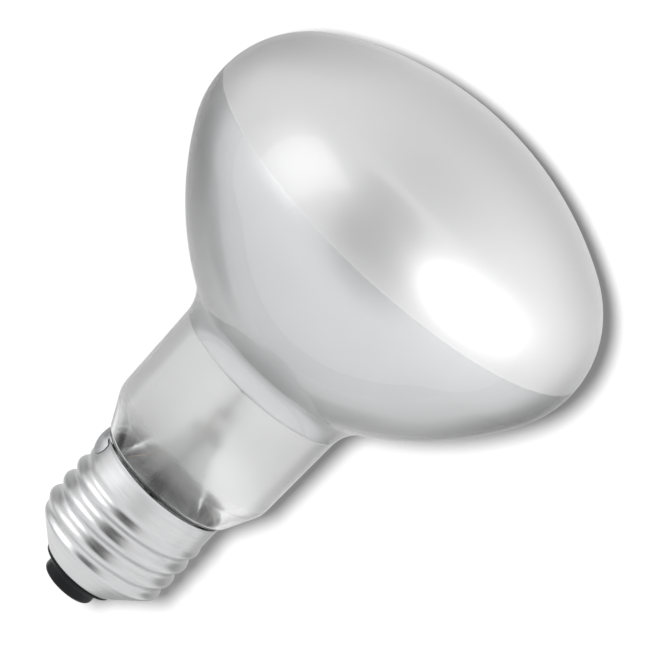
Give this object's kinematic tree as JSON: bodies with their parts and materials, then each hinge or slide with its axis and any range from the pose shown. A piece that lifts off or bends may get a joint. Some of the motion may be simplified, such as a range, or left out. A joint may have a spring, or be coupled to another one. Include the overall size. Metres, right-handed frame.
{
  "type": "reflector bulb",
  "caption": "Internally mirrored reflector bulb with a satin front and neck, a filament on a glass stem, and a rolled screw cap with a foot contact.",
  "frame": {"origin": "middle of the flat underside of the foot contact", "axes": "+Z along the bulb's axis from the cap to the front; the picture looks along +Y, with +X to its right once the bulb is stood upright"},
  "size_m": [0.08, 0.08, 0.1104],
  "materials": {
    "bulb_glass": "satin at the front and neck, clear over the mirror film and at the foot of the neck",
    "mirror_film": "evaporated aluminium on the inside of the bowl",
    "stem_glass": "clear drawn glass",
    "nickel_wire": "bright nickel-plated wire",
    "copper_wire": "dull copper wire",
    "tungsten": "dark drawn tungsten",
    "cement": "matt baked cement",
    "shell_aluminium": "bright rolled sheet",
    "black_glass": "glossy black pressed glass",
    "contact_brass": "plain brass sheet",
    "solder": "dull tin solder"
  },
  "bodies": {
    "root": {"envelope": "bulb_glass", "reflector_film": "mirror_film", "stem_flare": "stem_glass", "exhaust_tube": "stem_glass", "glass_rod": "stem_glass", "lead_wire_left": "nickel_wire", "lead_wire_right": "nickel_wire", "seal_wire_left": "copper_wire", "seal_wire_right": "copper_wire", "filament": "tungsten", "support_wires": "tungsten", "fuse_lead": "copper_wire", "fuse_wire": "nickel_wire", "fuse_sleeve": "stem_glass", "contact_lead": "copper_wire", "shell_lead": "copper_wire", "base_cement": "cement", "base_shell": "shell_aluminium", "insulator": "black_glass", "contact_plate": "contact_brass", "contact_solder": "solder", "side_solder": "solder"}
  },
  "joints": []
}
